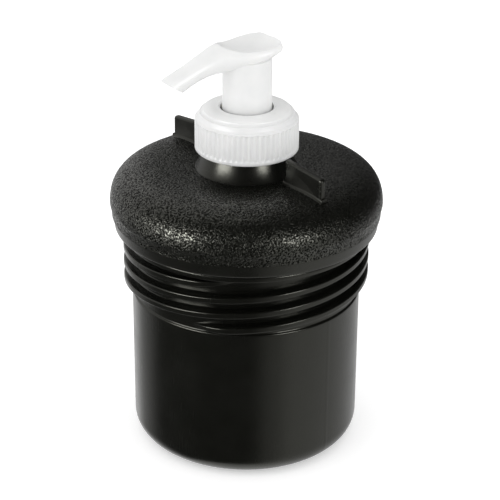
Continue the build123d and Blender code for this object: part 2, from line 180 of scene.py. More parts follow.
def outline(corners, step, closed=True):
    """Sampled outline from corners written as (radius, height) or (radius, height, fillet)."""
    points = [Vector(corner[:2]) for corner in corners]
    count = len(points)
    rounded = []
    for i, corner in enumerate(corners):
        is_end = not closed and i in (0, count - 1)
        if len(corner) > 2 and not is_end:
            rounded += fillet_points(points[i], points[i - 1], points[(i + 1) % count], corner[2], step)
        else:
            rounded.append(points[i])
    return filled_in(rounded, step, closed)


def bezier(a, b, c, d, step):
    """Sampled cubic curve, both ends included."""
    a, b, c, d = Vector(a), Vector(b), Vector(c), Vector(d)
    count = math.ceil((d - a).length * 1.15 / step)
    points = []
    for i in range(count + 1):
        t = i / count
        s = 1 - t
        points.append(a * s ** 3 + b * 3 * s * s * t + c * 3 * s * t * t + d * t ** 3)
    return points


def arc_between(start, end, radius, step):
    """Arc from start to end, bulging to the left of the way for a positive radius."""
    start, end = Vector(start), Vector(end)
    chord = end - start
    left = Vector((-chord.y, chord.x)).normalized()
    side = math.copysign(1, radius)
    drop = math.sqrt(radius ** 2 - chord.length_squared / 4)
    centre = (start + end) / 2 - left * side * drop
    arm = start - centre
    turn = -2 * side * math.asin(chord.length / 2 / abs(radius))
    count = max(3, math.ceil(chord.length / step))
    points = []
    for i in range(count + 1):
        angle = turn * i / count
        x = arm.x * math.cos(angle) - arm.y * math.sin(angle)
        y = arm.x * math.sin(angle) + arm.y * math.cos(angle)
        points.append(centre + Vector((x, y)))
    return points


# ---------------------------------------------------------------- meshes
SMOOTH_ANGLE = math.radians(35)


def new_object(name, vertices, faces, materials=(), face_slots=None):
    """Mesh object in metres from millimetre vertices, smooth except at sharp edges."""
    mesh = bpy.data.meshes.new(name)
    mesh.from_pydata((np.asarray(vertices) * MM).tolist(), [], faces)
    for material in materials:
        mesh.materials.append(material)
    if face_slots is not None:
        mesh.polygons.foreach_set("material_index", face_slots)
    work = bmesh.new()
    work.from_mesh(mesh)
    bmesh.ops.recalc_face_normals(work, faces=work.faces)
    work.to_mesh(mesh)
    work.free()
    finish_shading(mesh)
    piece = bpy.data.objects.new(name, mesh)
    bpy.context.scene.collection.objects.link(piece)
    return piece


def finish_shading(mesh):
    """Smooth faces that stay sharp along hard edges."""
    mesh.shade_smooth()
    mesh.set_sharp_from_angle(angle=SMOOTH_ANGLE)


def turned_by(points, degrees):
    """Points turned about the vertical axis."""
    a = math.radians(degrees)
    x = points[:, 0] * math.cos(a) - points[:, 1] * math.sin(a)
    y = points[:, 0] * math.sin(a) + points[:, 1] * math.cos(a)
    return np.stack([x, y, points[:, 2]], -1)


def grid_faces(rows, columns, closed_rows=False):
    """Quads of a grid that is always closed along its columns."""
    faces = []
    for i in range(rows if closed_rows else rows - 1):
        here = i * columns
        after = ((i + 1) % rows) * columns
        for j in range(columns):
            k = (j + 1) % columns
            faces.append((here + j, here + k, after + k, after + j))
    return faces


def lathe(profile, segments, shape=None):
    """Vertices and faces of a turned form. A profile that starts and ends on the axis is closed by
    two fans, and any other profile is a closed ring. shape(angle, r, z) may move the points."""
    r = np.array([p[0] for p in profile])
    z = np.array([p[1] for p in profile])
    solid = r[0] < 1e-6 and r[-1] < 1e-6
    poles = [(0, 0, z[0]), (0, 0, z[-1])]
    if solid:
        r = r[1:-1]
        z = z[1:-1]
    rr = np.repeat(r[:, None], segments, 1)
    zz = np.repeat(z[:, None], segments, 1)
    angle = np.repeat(np.linspace(0, 2 * np.pi, segments, endpoint=False)[None, :], len(r), 0)
    if shape:
        rr, zz = shape(angle, rr, zz)
    vertices = np.stack([rr * np.cos(angle), rr * np.sin(angle), zz], -1).reshape(-1, 3)
    faces = grid_faces(len(r), segments, closed_rows=not solid)
    if solid:
        first_pole = len(vertices)
        last_row = (len(r) - 1) * segments
        vertices = np.concatenate([vertices, np.array(poles)])
        for j in range(segments):
            k = (j + 1) % segments
            faces.append((first_pole, k, j))
            faces.append((first_pole + 1, last_row + j, last_row + k))
    return vertices, faces


def swept(rows):
    """Closed solid through equal loops of points, with a flat end on each side."""
    columns = len(rows[0])
    faces = grid_faces(len(rows), columns)
    faces.append(tuple(reversed(range(columns))))
    last = (len(rows) - 1) * columns
    faces.append(tuple(last + j for j in range(columns)))
    return np.concatenate(rows), faces


def helical_rib(section, hidden_r, lead, start_angle, start_z, sweep, fade):
    """Thread rib. The section is a loop of (radius, height) about the rib's middle, and both ends
    shrink back to hidden_r, which lies inside the wall."""
    section = np.array([tuple(p) for p in section])
    count = int(sweep / RIB_STEP_DEGREES)
    rows = []
    for i in range(count + 1):
        turn = sweep * i / count
        fullness = math.sin(math.pi / 2 * min(1.0, (min(turn, sweep - turn) + 0.4) / fade))
        r = hidden_r + (section[:, 0] - hidden_r) * fullness
        z = start_z + lead * turn / 360 + section[:, 1] * (0.4 + 0.6 * fullness)
        angle = math.radians(start_angle + turn)
        rows.append(np.stack([r * math.cos(angle), r * math.sin(angle), z], -1))
    return swept(rows)


def rib_section(wall_r, crest_r, root_width, crest_width, ease, step):
    """Square rib with eased crest corners and a small fillet at the wall, either way round."""
    out = math.copysign(1, crest_r - wall_r)
    root = root_width / 2
    crest = crest_width / 2
    return outline(
        [
            (wall_r - 0.4 * out, -root - 0.3),
            (wall_r, -root - 0.3),
            (wall_r + 0.35 * out, -root + 0.1, 0.3),
            (crest_r, -crest, ease),
            (crest_r, crest, ease),
            (wall_r + 0.35 * out, root - 0.1, 0.3),
            (wall_r, root + 0.3),
            (wall_r - 0.4 * out, root + 0.3),
        ],
        step,
    )


def boolean(target, other, operation):
    """Joins another closed mesh to the first, or cuts it away, and drops the other."""
    modifier = target.modifiers.new("boolean", "BOOLEAN")
    modifier.object = other
    modifier.operation = operation
    modifier.solver = "MANIFOLD"
    graph = bpy.context.evaluated_depsgraph_get()
    mesh = bpy.data.meshes.new_from_object(target.evaluated_get(graph))
    target.modifiers.clear()
    target.data = mesh
    bpy.data.objects.remove(other)
    finish_shading(mesh)


def join(target, solids, materials=(), slot=0):
    """Joins closed meshes, which stand clear of each other, to the first."""
    vertices = np.zeros((0, 3))
    faces = []
    for own_vertices, own_faces in solids:
        first = len(vertices)
        faces += [tuple(first + corner for corner in face) for face in own_faces]
        vertices = np.concatenate([vertices, own_vertices])
    extra = new_object("extra", vertices, faces, materials, [slot] * len(faces))
    boolean(target, extra, "UNION")


def cut(target, vertices, faces):
    """Cuts a closed mesh out of the first."""
    boolean(target, new_object("cutter", vertices, faces), "DIFFERENCE")


def placed(piece, body, slot, *nodes):
    """The piece stands for those CAD nodes, which are hidden, and moves with the body."""
    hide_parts(*nodes)
    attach(piece, body)


# ---------------------------------------------------------------- shader building blocks
def math_node(tree, operation, a, b):
    """Arithmetic on two values, where either may be a plain number."""
    node = tree.nodes.new("ShaderNodeMath")
    node.operation = operation
    for value, socket in ((a, node.inputs[0]), (b, node.inputs[1])):
        if isinstance(value, (int, float)):
            socket.default_value = value
        else:
            tree.links.new(value, socket)
    return node.outputs["Value"]


def mix_node(tree, factor, first, second):
    """Mix of two colours, where either may be a plain (red, green, blue)."""
    node = tree.nodes.new("ShaderNodeMix")
    node.data_type = "RGBA"
    tree.links.new(factor, node.inputs["Factor"])
    for value, socket in ((first, node.inputs["A"]), (second, node.inputs["B"])):
        if isinstance(value, tuple):
            socket.default_value = (*value, 1)
        else:
            tree.links.new(value, socket)
    return node.outputs["Result"]


class Look:
    """A material being built: one Principled surface, fed by noise measured in millimetres."""

    def __init__(self, name, specular=0.5, shine=(1, 1, 1)):
        self.material = bpy.data.materials.new(name)
        self.material.use_nodes = True
        self.tree = self.material.node_tree
        self.surface = self.tree.nodes["Principled BSDF"]
        self.surface.inputs["Specular IOR Level"].default_value = specular
        self.surface.inputs["Specular Tint"].default_value = (*shine, 1)
        self.place = self.tree.nodes.new("ShaderNodeTexCoord").outputs["Object"]

    def link(self, output, target):
        self.tree.links.new(output, target)

    def noise(self, size, detail, stretch=(1, 1, 1), turned=(0, 0, 0)):
        """Noise with features of that size in millimetres, stretched along an axis if asked."""
        mapping = self.tree.nodes.new("ShaderNodeMapping")
        mapping.inputs["Scale"].default_value = [1 / (size * MM * s) for s in stretch]
        mapping.inputs["Rotation"].default_value = [math.radians(a) for a in turned]
        texture = self.tree.nodes.new("ShaderNodeTexNoise")
        texture.inputs["Scale"].default_value = 1
        texture.inputs["Detail"].default_value = detail
        self.link(self.place, mapping.inputs["Vector"])
        self.link(mapping.outputs["Vector"], texture.inputs["Vector"])
        return texture.outputs["Fac"]

    def remap(self, value, low, high, to_low, to_high):
        """Linear change of range, held at both ends."""
        node = self.tree.nodes.new("ShaderNodeMapRange")
        for key, number in (("From Min", low), ("From Max", high), ("To Min", to_low), ("To Max", to_high)):
            node.inputs[key].default_value = number
        self.link(value, node.inputs["Value"])
        return node.outputs["Result"]

    def wander(self, size, detail, low, high, stretch=(1, 1, 1)):
        """Value that wanders between two limits, in patches of a size in millimetres."""
        return self.remap(self.noise(size, detail, stretch), 0.3, 0.7, low, high)

    def plain(self, colour):
        """One base colour all over."""
        self.surface.inputs["Base Color"].default_value = (*colour, 1)

    def mottled(self, size, detail, first, second):
        """Base colour that wanders between two colours, in patches of a size in millimetres."""
        self.colours(self.wander(size, detail, 0, 1), first, second)

    def colours(self, value, first, second):
        """Base colour between two colours, as far along as the value says."""
        self.link(mix_node(self.tree, value, first, second), self.surface.inputs["Base Color"])

    def roughness(self, value):
        self.link(value, self.surface.inputs["Roughness"])

    def relief(self, *layers):
        """Fine surface relief from (height, depth in millimetres) layers, added up."""
        normal = None
        for height, depth in layers:
            bump = self.tree.nodes.new("ShaderNodeBump")
            bump.inputs["Distance"].default_value = depth * MM
            self.link(height, bump.inputs["Height"])
            if normal:
                self.link(normal, bump.inputs["Normal"])
            normal = bump.outputs["Normal"]
        self.link(normal, self.surface.inputs["Normal"])

    def scratches(self, size, tilt):
        """Sparse thin marks, 1 on a mark and 0 off it."""
        lines = self.noise(size, 1.0, stretch=(0.12, 0.12, 3.0), turned=(0, tilt, 0))
        patches = self.noise(size * 4, 1.0)
        thin = self.remap(lines, 0.66, 0.7, 0, 1)
        sparse = self.remap(patches, 0.5, 0.6, 0, 1)
        return math_node(self.tree, "MULTIPLY", thin, sparse)

    def worn(self, smooth, rough, scratch_size=4.0, tilt=25):
        """Roughness that wanders between two values and rises on faint marks."""
        wander = self.remap(self.noise(14.0, 3.0), 0.35, 0.65, smooth, rough)
        marks = math_node(self.tree, "MULTIPLY", self.scratches(scratch_size, tilt), 0.05)
        self.roughness(math_node(self.tree, "ADD", wander, marks))


# ---------------------------------------------------------------- materials
WARM_BLACK_SHINE = (1.0, 1.0, 0.88)


def jar_black():
    """Satin moulded polyethylene with a faint orange peel, flow marks and handling marks."""
    look = Look("jar_black", shine=WARM_BLACK_SHINE)
    look.mottled(9.0, 3.0, (0.0038, 0.0040, 0.0030), (0.0048, 0.0050, 0.0039))
    look.worn(0.20, 0.27)
    look.relief((look.noise(1.6, 2.0), 0.012), (look.noise(7.0, 2.0, stretch=(1, 1, 4)), 0.03))
    return look.material


def lid_grain():
    """Moulded leather grain: the large cells are in the mesh, the small ones are here."""
    look = Look("lid_grain", shine=WARM_BLACK_SHINE)
    look.mottled(6.0, 3.0, (0.0040, 0.0042, 0.0033), (0.0056, 0.0058, 0.0047))
    look.roughness(look.wander(2.0, 3.0, 0.19, 0.27))
    cells = look.remap(look.noise(0.7, 1.0), 0.42, 0.58, 0, 1)
    look.relief((cells, 0.07), (look.noise(0.35, 1.0), 0.02))
    look.link(look.remap(cells, 0, 1, 0.04, 0.8), look.surface.inputs["Specular IOR Level"])
    return look.material


def lid_smooth():
    """The polished parts of the lid: neck, tabs, lip band and everything inside."""
    look = Look("lid_smooth", shine=WARM_BLACK_SHINE)
    look.mottled(8.0, 3.0, (0.0040, 0.0042, 0.0033), (0.0052, 0.0054, 0.0043))
    look.worn(0.24, 0.32)
    look.relief((look.noise(1.3, 2.0), 0.02))
    return look.material


def gasket_black():
    """Dull soft rubber."""
    look = Look("gasket_black", specular=0.25)
    look.plain((0.004, 0.004, 0.004))
    look.roughness(look.wander(0.8, 3.0, 0.6, 0.8))
    look.relief((look.noise(0.4, 2.0), 0.02))
    return look.material


def white_plastic():
    """White polypropylene: a little light travels inside it, with soft moulding ripples."""
    look = Look("white_plastic")
    surface = look.surface
    surface.inputs["Subsurface Weight"].default_value = 0.35
    surface.inputs["Subsurface Radius"].default_value = (1.0, 1.0, 0.95)
    surface.inputs["Subsurface Scale"].default_value = 1.6 * MM
    look.mottled(7.0, 2.0, (0.83, 0.835, 0.83), (0.87, 0.87, 0.865))
    look.worn(0.30, 0.40, 3.0, 60)
    look.relief((look.noise(1.1, 2.0), 0.008), (look.noise(6.0, 1.0), 0.03))
    return look.material


def natural_plastic():
    """Unpigmented, cloudy plastic of the parts inside."""
    look = Look("natural_plastic")
    look.plain((0.74, 0.76, 0.74))
    surface = look.surface
    surface.inputs["Transmission Weight"].default_value = 0.35
    surface.inputs["Subsurface Weight"].default_value = 0.2
    surface.inputs["Subsurface Scale"].default_value = 1.0 * MM
    look.roughness(look.wander(3.0, 3.0, 0.3, 0.48))
    look.relief((look.noise(0.9, 2.0), 0.01))
    return look.material


def seal_foam():
    """Cut foam washer with open cells."""
    look = Look("seal_foam", specular=0.3)
    cells = look.remap(look.noise(0.5, 2.0), 0.4, 0.6, 0, 1)
    look.colours(cells, (0.5, 0.49, 0.46), (0.68, 0.67, 0.64))
    look.roughness(look.wander(1.5, 2.0, 0.75, 0.95))
    look.relief((look.noise(0.35, 2.0), 0.08))
    return look.material


def steel():
    """Drawn stainless wire and ball, with fine lines along the draw."""
    look = Look("steel")
    look.plain((0.58, 0.57, 0.55))
    look.surface.inputs["Metallic"].default_value = 1.0
    look.roughness(look.wander(0.25, 3.0, 0.16, 0.36, stretch=(6, 6, 0.4)))
    look.relief((look.noise(0.2, 2.0, stretch=(6, 6, 0.4)), 0.004))
    return look.material


MATERIALS = {
    "jar_black": jar_black(),
    "lid_black": lid_grain(),
    "lid_smooth": lid_smooth(),
    "gasket_black": gasket_black(),
    "white_plastic": white_plastic(),
    "natural_plastic": natural_plastic(),
    "seal_foam": seal_foam(),
    "steel": steel(),
}


# ---------------------------------------------------------------- jar
def mould_seam(angle, r, z):
    """Raises the fine mould seam on the +X side of the jar."""
    outside = r > JAR_MOUTH_R + 1
    across = (angle + np.pi) % (2 * np.pi) - np.pi
    seam = 0.09 * np.exp(-((across * r / 0.35) ** 2))
    return r + np.where(outside & (z < RIM - FLANGE_HEIGHT), seam, 0), z


def make_jar():
    flange_low = RIM - FLANGE_HEIGHT
    profile = outline(
        [
            (0, 1.0),
            (26, 1.0, 0.8),
            (29, 0, 0.8),
            (JAR_R, 0, BASE_FILLET),
            (JAR_R, NECK_LAND_BOTTOM, 1.0),
            (NECK_LAND_R, NECK_LAND_BOTTOM + 0.4, 1.0),
            (NECK_LAND_R, flange_low, 0.5),
            (FLANGE_R, flange_low, 0.45),
            (FLANGE_R, RIM, 0.5),
            (JAR_MOUTH_R, RIM, 0.4),
            (JAR_MOUTH_R, JAR_FLOOR, BASE_FILLET - 2.2),
            (0, JAR_FLOOR),
        ],
        1.0,
        closed=False,
    )
    jar = new_object("jar_shell", *lathe(profile, JAR_SEGMENTS, mould_seam), [MATERIALS["jar_black"]])
    thread = rib_section(NECK_LAND_R, THREAD_CREST_R, root_width=3.3, crest_width=2.5, ease=0.55, step=0.2)
    grip = rib_section(JAR_MOUTH_R, PLUG_R + 0.5, root_width=2.0, crest_width=1.5, ease=0.3, step=0.3)
    ribs = []
    for start in range(THREAD_STARTS):
        turn = start * 360 / THREAD_STARTS
        angle = THREAD_START_ANGLE + turn
        ribs.append(helical_rib(
            thread, NECK_LAND_R - 0.4, THREAD_LEAD, angle, THREAD_BOTTOM, sweep=THREAD_SWEEP, fade=20,
        ))
        ribs.append(helical_rib(
            grip, JAR_MOUTH_R + 0.4, QUICK_LEAD, turn, PLUG_BOTTOM + 4.75, sweep=75, fade=12,
        ))
    join(jar, ribs)
    placed(jar, "jar", "jar_black", "jar")


# ---------------------------------------------------------------- lid
def grain_height(x, y, z):
    """Moulded leather grain from -1 to 1: short winding ridges with flat valleys."""
    here = Vector((x, y, z)) / GRAIN_SIZE
    warp = noise.noise_vector(here * 0.7) * 0.5
    ridge = noise.noise(here + warp)
    fine = noise.noise(here * 2.1 + warp)
    return math.tanh(3.2 * ridge + 0.8 * fine)


def dome_profile():
    """Outside of the dome from the neck's foot to the lip."""
    neck = bezier(
        (NECK_WAIST_R, NECK_WAIST_Z),
        (NECK_WAIST_R + 0.5, NECK_WAIST_Z - 3.5),
        (NECK_FOOT_R - 1.3, DOME_TOP + 1.8),
        (NECK_FOOT_R, DOME_TOP - 0.2),
        0.4,
    )
    crown_ends = [Vector((NECK_FOOT_R, DOME_TOP - 0.2)), Vector((CROWN_FLAT_R, DOME_TOP))]
    crown = filled_in(crown_ends, GRAIN_STEP, False)
    side = bezier(
        (CROWN_FLAT_R, DOME_TOP),
        (CROWN_FLAT_R + 15.5, DOME_TOP),
        (DOME_R, DOME_WIDEST + 10.5),
        (DOME_R, DOME_WIDEST),
        GRAIN_STEP,
    )
    lip = arc_between((DOME_R, DOME_WIDEST), (LIP_R, LIP_Z), -18, 0.3)
    return neck, crown[1:] + side[1:] + lip[1:]


def lid_profile():
    """Closed section of the lid, and the first and last row of its grained stretch."""
    neck, dome = dome_profile()
    rest = outline(
        [
            (LIP_R - 0.35, LIP_Z - 0.1),
            (LIP_R - 0.4, LIP_Z - 0.5),
            (SKIRT_R, SKIRT_BOTTOM, 0.6),
            (PLUG_R, SKIRT_BOTTOM, 0.3),
            (PLUG_R, PLUG_BOTTOM, 0.6),
            (PLUG_IN_R, PLUG_BOTTOM, 0.4),
            (PLUG_IN_R, SKIRT_BOTTOM + LID_WALL),
            (SKIRT_R - LID_WALL, SKIRT_BOTTOM + LID_WALL),
            (DOME_R - LID_WALL, DOME_WIDEST),
        ],
        1.2,
        closed=False,
    )
    inside = bezier(
        (DOME_R - LID_WALL, DOME_WIDEST),
        (DOME_R - LID_WALL, DOME_WIDEST + 8.9),
        (CROWN_FLAT_R + 13.9, DOME_TOP - LID_WALL),
        (CROWN_FLAT_R, DOME_TOP - LID_WALL),
        1.2,
    )
    neck_inside = outline(
        [
            (CROWN_FLAT_R, DOME_TOP - LID_WALL),
            (NECK_BORE_R, DOME_TOP - 0.2 - LID_WALL, 1.0),
            (NECK_BORE_R, NECK_TOP, 0.3),
            (NECK_WAIST_R, NECK_TOP, 0.4),
            (NECK_WAIST_R, NECK_WAIST_Z),
        ],
        1.5,
        closed=False,
    )
    profile = neck + dome + rest + inside[1:] + neck_inside[1:-1]
    return profile, len(neck), len(neck) + len(dome) - 1


def make_lid():
    noise.seed_set(GRAIN_SEED)  # without a seed, noise_vector shifts with the clock
    profile, first_grain, last_grain = lid_profile()

    def grain(angle, r, z):
        """Lifts the grained rows off the dome, with a plain raised line across it at the tabs."""
        row = np.arange(len(profile))[:, None]
        near_neck = np.clip((r - NECK_FOOT_R - 0.2) / 1.0, 0, 1)
        near_lip = np.clip((z - LIP_Z - 0.1) / 0.5, 0, 1)
        mask = near_neck * near_lip * ((row >= first_grain) & (row < last_grain))
        slope_r = np.gradient(r[:, 0])[:, None]
        slope_z = np.gradient(z[:, 0])[:, None]
        length = np.hypot(slope_r, slope_z) + 1e-9
        lift = np.zeros_like(r)
        for i in range(first_grain, last_grain):
            for j in range(LID_SEGMENTS):
                if mask[i, j] > 0:
                    a = angle[i, j]
                    lift[i, j] = grain_height(r[i, j] * math.cos(a), r[i, j] * math.sin(a), z[i, j])
        lift *= GRAIN_DEPTH / 2 * mask
        line = np.abs(np.sin(angle - math.radians(TAB_HEADING))) * r < 0.2
        lift = np.where(line & (mask > 0), GRAIN_DEPTH * 0.9, lift)
        return r - lift * slope_z / length, z + lift * slope_r / length

    vertices, faces = lathe(profile, LID_SEGMENTS, grain)
    slots = np.ones(len(faces), int)
    slots[first_grain * LID_SEGMENTS:(last_grain - 1) * LID_SEGMENTS] = 0
    finishes = [MATERIALS["lid_black"], MATERIALS["lid_smooth"]]
    lid = new_object("lid_shell", vertices, faces, finishes, slots)

    neck_thread = rib_section(
        NECK_WAIST_R, NECK_THREAD_R, root_width=1.5, crest_width=0.9, ease=0.25, step=0.3,
    )
    quick = rib_section(PLUG_R, JAR_MOUTH_R - 0.4, root_width=2.0, crest_width=1.5, ease=0.3, step=0.3)
    headings = (TAB_HEADING, TAB_HEADING + 180)
    extras = [tab_foot(heading) for heading in headings]
    extras.append(helical_rib(
        neck_thread, NECK_WAIST_R - 0.4, NECK_PITCH, 0, NECK_THREAD_BOTTOM, sweep=440, fade=14,
    ))
    for start in range(THREAD_STARTS):
        turn = start * 360 / THREAD_STARTS
        extras.append(helical_rib(
            quick, PLUG_R - 0.4, QUICK_LEAD, turn, PLUG_BOTTOM + 2.9, sweep=55, fade=12,
        ))
    join(lid, extras, finishes, 1)
    join(lid, [finger_tab(heading) for heading in headings], finishes, 1)
    placed(lid, "lid", "lid_black", "lid")


def finger_tab(heading):
    """Upright blade that points outwards, with every outer edge eased."""
    low = DOME_TOP - 2.0
    corners = [
        (TAB_INNER_R, low),
        (TAB_OUTER_R, low),
        (TAB_OUTER_R, TAB_TOP_OUTER, 1.1),
        (TAB_INNER_R, TAB_TOP_INNER, 0.9),
    ]
    flat = outline(corners, 0.5)
    half = TAB_THICKNESS / 2
    ease = 0.85
    centre = Vector(((TAB_INNER_R + TAB_OUTER_R) / 2, DOME_TOP + 3.5))
    reach = Vector(((TAB_OUTER_R - TAB_INNER_R) / 2, 5.5))
    steps = 6
    turns = [math.pi / 2 * i / steps for i in range(steps + 1)]
    levels = [(-half, ease + 0.3)]
    for a in turns:
        levels.append((-half + ease * (1 - math.cos(a)), ease * (1 - math.sin(a))))
    levels += [(-y, inset) for y, inset in reversed(levels)]
    rows = []
    for y, inset in levels:
        loop = []
        for point in flat:
            x = centre.x + (point.x - centre.x) * (1 - inset / reach.x)
            z = centre.y + (point.y - centre.y) * (1 - inset / reach.y)
            loop.append((x, y, z if point.y > low + 0.01 else point.y))
        rows.append(turned_by(np.array(loop), heading))
    return swept(rows)


def dome_height(radius):
    """Height of the dome's outside at that radius."""
    upper = [point for point in dome_profile()[1] if point.y > DOME_WIDEST]
    return float(np.interp(radius, [point.x for point in upper], [point.y for point in upper]))


def tab_foot(heading):
    """Fillet where a tab meets the crown, swept along the tab and following the dome down."""
    half = TAB_THICKNESS / 2
    size = 1.6
    sunk = 0.03
    rows = []
    for x in np.linspace(TAB_INNER_R - 0.8, TAB_OUTER_R + 0.8, 30):
        base = dome_height(x) - 0.2
        section = [(half + size, base - 1.0), (half + size, base)]
        for i in range(1, 10):
            angle = math.pi / 2 * i / 10
            out = (size + sunk) * (1 - math.sin(angle)) - sunk
            section.append((half + out, base + size * (1 - math.cos(angle))))
        section.append((half - sunk, base + size))
        loop = section + [(-y, z) for y, z in reversed(section)]
        rows.append(turned_by(np.array([(x, y, z) for y, z in loop]), heading))
    return swept(rows)


# ---------------------------------------------------------------- lid gasket and closure
def make_lid_gasket():
    mid = (SEAL_LOW.z + SEAL_HIGH.z) / 2
    profile = outline(
        [
            (PLUG_R + 0.3, SEAL_LOW.z, 0.2),
            (SEAL_HIGH.x - 0.2, SEAL_LOW.z, 0.4),
            (SEAL_HIGH.x, mid, 0.6),
            (SEAL_HIGH.x - 0.2, SEAL_HIGH.z, 0.4),
            (PLUG_R + 0.3, SEAL_HIGH.z, 0.2),
        ],
        0.4,
    )
    gasket = new_object("lid_gasket_ring", *lathe(profile, 240), [MATERIALS["gasket_black"]])
    placed(gasket, "lid_seal", "gasket_black", "lid_gasket")


def closure_ribs(angle, r, z):
    """Sixty rounded ribs round the collar's side, running out softly at both ends."""
    low = CLOSURE_LOW.z + 1.9
    high = CLOSURE_LOW.z + 12.6
    rise = np.clip((z - low + 0.5) / 0.9, 0, 1) * np.clip((high - z + 0.5) / 0.9, 0, 1)
    across = (angle * CLOSURE_RIBS / (2 * np.pi)) % 1 - 0.5
    groove = np.clip(1 - (across / 0.34) ** 2, 0, 1) ** 0.7
    return np.where(r > CLOSURE_IN_R + 1.2, r - 0.42 * groove * rise, r), z


def make_closure():
    low = CLOSURE_LOW.z
    high = CLOSURE_HIGH.z
    shoulder = arc_between((CLOSURE_R, high - 5), (CLOSURE_R - 1.3, high - 3.6), 1.6, 0.15)
    bead = arc_between((CLOSURE_R - 1.9, high - 2.4), (CLOSURE_R - 3.4, high - 1.1), 1.6, 0.2)
    dish = arc_between((CLOSURE_R - 3.4, high - 1.1), (CLOSURE_BEAD_R, high - 0.2), -12, 0.5)
    side = filled_in([Vector((CLOSURE_R, low + 0.5)), Vector((CLOSURE_R, high - 5))], 0.3, False)
    rim = outline(
        [
            (CLOSURE_BEAD_R, high - 0.2),
            (CLOSURE_BEAD_R - 0.9, high, 0.3),
            (CLOSURE_HOLE_R, high - 0.4, 0.2),
            (CLOSURE_HOLE_R, high - CLOSURE_TOP_WALL),
            (CLOSURE_IN_R, high - CLOSURE_TOP_WALL, 0.6),
            (CLOSURE_IN_R, low, 0.3),
            (CLOSURE_R - 0.3, low, 0.3),
            (CLOSURE_R, low + 0.5),
        ],
        0.8,
        closed=False,
    )
    profile = side + shoulder[1:] + bead + dish[1:] + rim[1:-1]
    vertices, faces = lathe(profile, CLOSURE_SEGMENTS, closure_ribs)
    closure = new_object("closure_collar", vertices, faces, [MATERIALS["white_plastic"]])
    section = rib_section(
        CLOSURE_IN_R, CLOSURE_THREAD_R, root_width=1.5, crest_width=0.9, ease=0.25, step=0.3,
    )
    start = CLOSURE_THREAD_ANGLE
    bottom = NECK_THREAD_BOTTOM + NECK_PITCH * start / 360 - 1.3
    rib = helical_rib(section, CLOSURE_IN_R + 0.4, NECK_PITCH, start, bottom, sweep=400, fade=14)
    join(closure, [rib])
    placed(closure, "closure", "white_plastic", "closure")


# ---------------------------------------------------------------- actuator head
# Head sections from tail to mouth: distance from the axis, middle height above the skirt's foot,
# downward tilt in degrees, half width and half height. The last one is the slanted mouth.
HEAD_SECTIONS = (
    (-12.8, 27.3, 9, 4.2, 1.6),
    (-11.6, 27.2, 9, 7.8, 2.8),
    (-8.6, 26.8, 9, 10.3, 3.9),
    (-3.0, 25.8, 9, 11.2, 4.9),
    (4.0, 24.6, 10, 9.8, 5.7),
    (12.0, 23.7, 16, 6.5, 6.0),
    (20.0, 21.4, 27, 4.8, 4.7),
    (27.5, 18.1, 33, 4.4, 4.3),
    (33.2, 15.3, 57, 4.3, 5.1),
)
SPOUT_CHANNEL = ((0, 21.2), (8, 21.5), (20, 21.0), (27.5, 18.1), (33.2, 15.3), (38.5, 12.7))

# Thumb dish: an oval bowl over the saddle, leaning with it
DISH_CENTRE = (-3.0, 36.2)
DISH_RADII = (18.2, 15.6, 11.2)
DISH_TILT = 7.0


def smooth_curve(keys, count):
    """Points along a smooth curve through the rows of keys, with that many steps between rows."""
    keys = np.array(keys, float)
    travelled = np.concatenate([[0], np.cumsum(np.hypot(*np.diff(keys[:, :2], axis=0).T))])
    slopes = np.gradient(keys, travelled, axis=0)
    rows = []
    for i in range(len(keys) - 1):
        span = travelled[i + 1] - travelled[i]
        for t in np.arange(count) / count:
            a = 2 * t ** 3 - 3 * t ** 2 + 1
            b = (t ** 3 - 2 * t ** 2 + t) * span
            c = 3 * t ** 2 - 2 * t ** 3
            d = (t ** 3 - t ** 2) * span
            rows.append(a * keys[i] + b * slopes[i] + c * keys[i + 1] + d * slopes[i + 1])
    rows.append(keys[-1])
    return rows


def head_loop(distance, middle, tilt, half_width, half_height, count=96):
    """Oval across the spout, leaning over by the tilt."""
    lean = math.radians(tilt)
    around = np.linspace(0, 2 * np.pi, count, endpoint=False)
    up = half_height * np.sin(around)
    x = distance + up * math.sin(lean)
    z = middle + up * math.cos(lean)
    return np.stack([x, half_width * np.cos(around), z], -1)


def press_dish(loop):
    """Lowers the top of the saddle into the thumb dish, with a soft edge."""
    lean = math.radians(DISH_TILT)
    x = loop[:, 0] - DISH_CENTRE[0]
    z = loop[:, 2] - DISH_CENTRE[1]
    along = x * math.cos(lean) - z * math.sin(lean)
    up = x * math.sin(lean) + z * math.cos(lean)
    inside = 1 - (along / DISH_RADII[0]) ** 2 - (loop[:, 1] / DISH_RADII[1]) ** 2
    dish = -DISH_RADII[2] * np.sqrt(np.clip(inside, 0, 1))
    soft = 0.5
    gap = np.clip(0.5 + 0.5 * (up - dish) / soft, 0, 1)
    lowered = up * (1 - gap) + dish * gap - soft * gap * (1 - gap)
    sections = np.array(HEAD_SECTIONS)
    middle = np.interp(loop[:, 0], sections[:, 0], sections[:, 1]) - 0.3
    up = np.where(loop[:, 2] > middle, lowered, up)
    pressed_x = along * math.cos(lean) + up * math.sin(lean) + DISH_CENTRE[0]
    pressed_z = up * math.cos(lean) - along * math.sin(lean) + DISH_CENTRE[1]
    return np.stack([pressed_x, loop[:, 1], pressed_z], -1)


HEAD_FOOT = np.array([0, 0, HEAD_LOW.z])


def turned_to_spout(vertices):
    """From the spout's own axis to its heading at rest, lifted to the skirt's foot."""
    return turned_by(vertices, SPOUT_HEADING) + HEAD_FOOT


def rounded_tail():
    """Sections that close the tail of the saddle with a rounded end."""
    distance, middle, tilt, half_width, half_height = HEAD_SECTIONS[0]
    sections = []
    for angle in (85, 70, 50, 28):
        size = math.cos(math.radians(angle))
        out = 0.9 * math.sin(math.radians(angle))
        sections.append(np.array((distance - out, middle, tilt, half_width * size, half_height * size)))
    return sections


